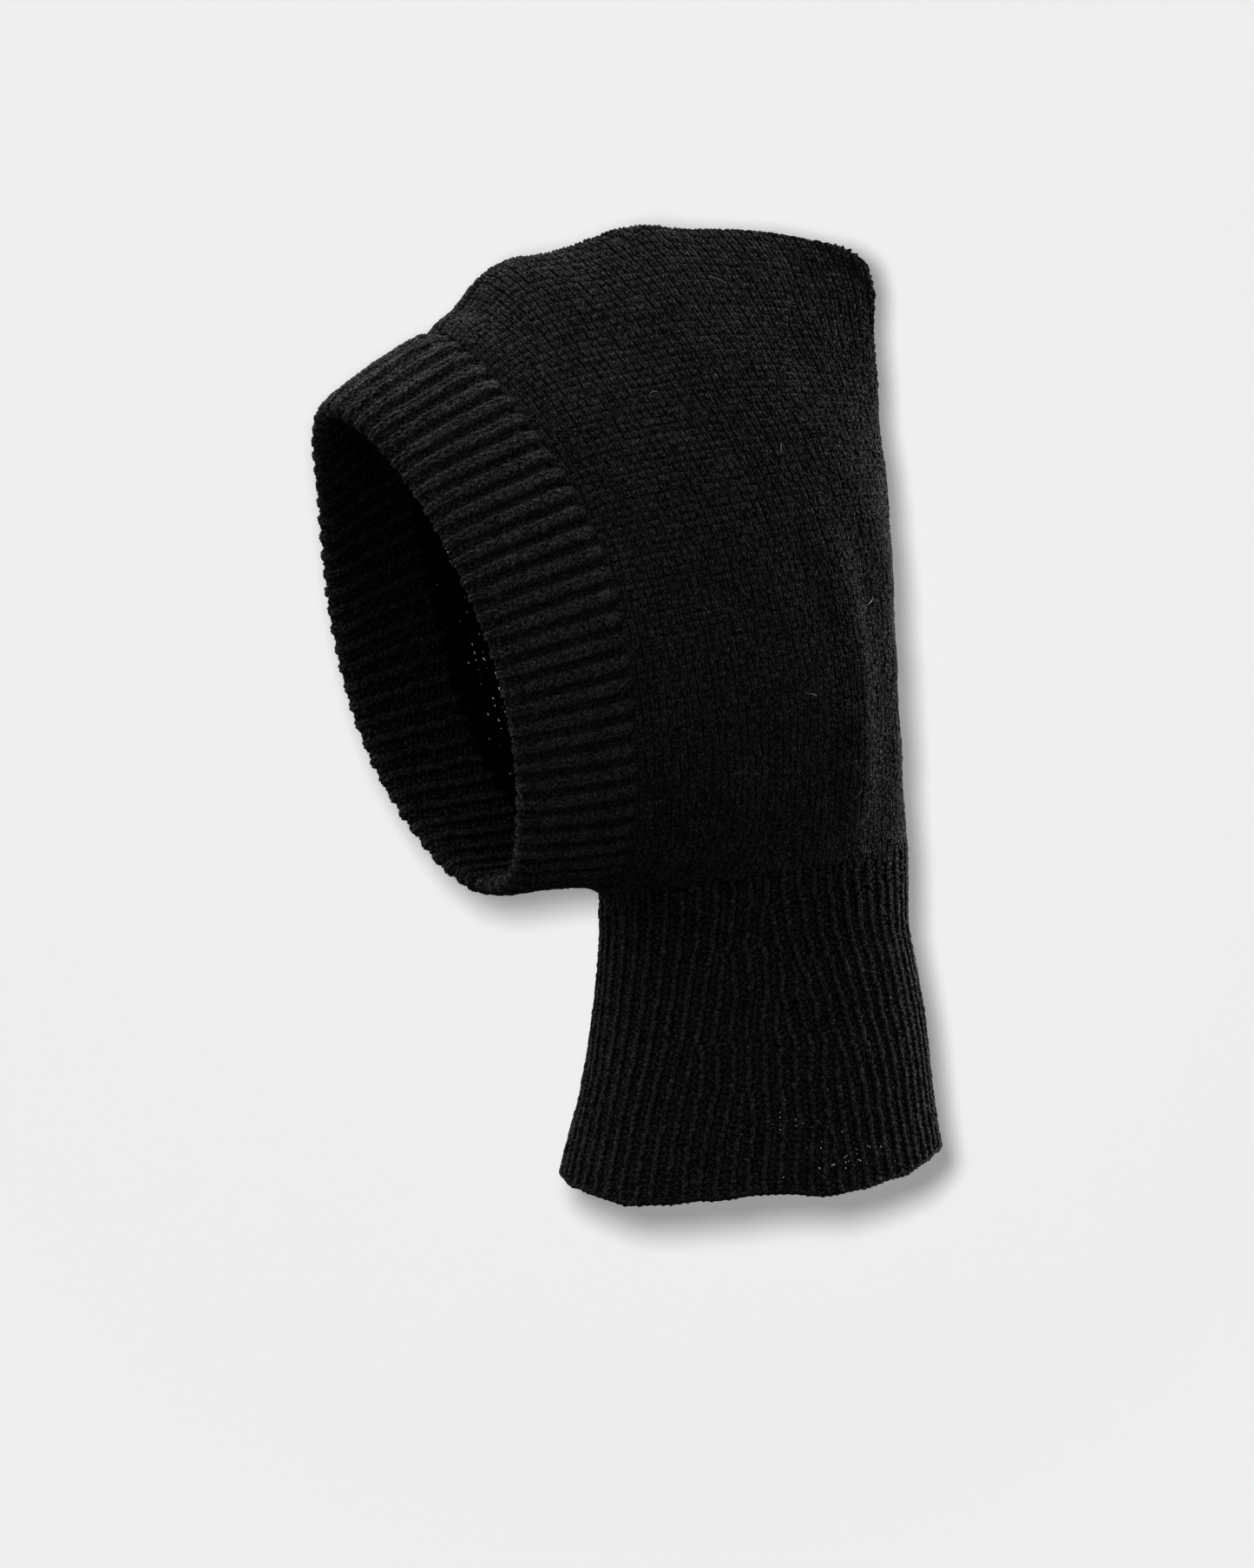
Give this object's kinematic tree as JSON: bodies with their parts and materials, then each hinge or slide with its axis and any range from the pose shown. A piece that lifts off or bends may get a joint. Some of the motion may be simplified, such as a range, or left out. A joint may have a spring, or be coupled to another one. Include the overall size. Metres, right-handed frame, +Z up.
{
  "type": "balaclava",
  "caption": "Knitted hood for the head and neck with a doubled rib band round the face opening, a crown seam and a flared rib neck.",
  "frame": {"origin": "below the middle of the whole hood, on the plane the hem stands on", "axes": "+Z up from the hem to the crown, -Y towards the wearer's front, +X towards the wearer's left; the plane X=0 is the hood's plane of symmetry"},
  "size_m": [0.1592, 0.2828, 0.4055],
  "materials": {
    "hood_stockinette": "matte black wool stockinette with a fine nap",
    "band_rib": "matte black wool 1x1 rib with a fine nap",
    "neck_rib": "matte black wool 1x1 rib with a fine nap",
    "seam_yarn": "matte black wool yarn"
  },
  "bodies": {
    "neck": {"hem_edge": "neck_rib", "neck_rib_lower": "neck_rib", "neck_rib_twist": "neck_rib", "neck_front_seam_lower": "seam_yarn"},
    "collar": {"neck_rib_middle": "neck_rib", "neck_rib_bend": "neck_rib", "neck_front_seam_upper": "seam_yarn"},
    "hood": {"hood_body": "hood_stockinette", "crown_seam": "seam_yarn", "face_band_outer": "band_rib", "face_band_facing": "band_rib", "band_linking_seam": "seam_yarn", "band_end_seam": "seam_yarn"}
  },
  "joints": [
    {"name": "hood_turn", "type": "hinge", "parent": "neck", "child": "collar", "pos_m": [0, 0.05877, 0.062], "axis": [0, 0, 1], "range_deg": [-40, 40], "stiffness_Nm_per_rad": 0.2, "deforming": ["neck_rib_twist", "neck_front_seam_lower"]},
    {"name": "hood_tilt", "type": "hinge", "parent": "collar", "child": "hood", "pos_m": [0, 0.05877, 0.105], "axis": [1, 0, 0], "range_deg": [-30, 25], "stiffness_Nm_per_rad": 1, "deforming": ["neck_rib_bend", "neck_front_seam_upper"]}
  ]
}
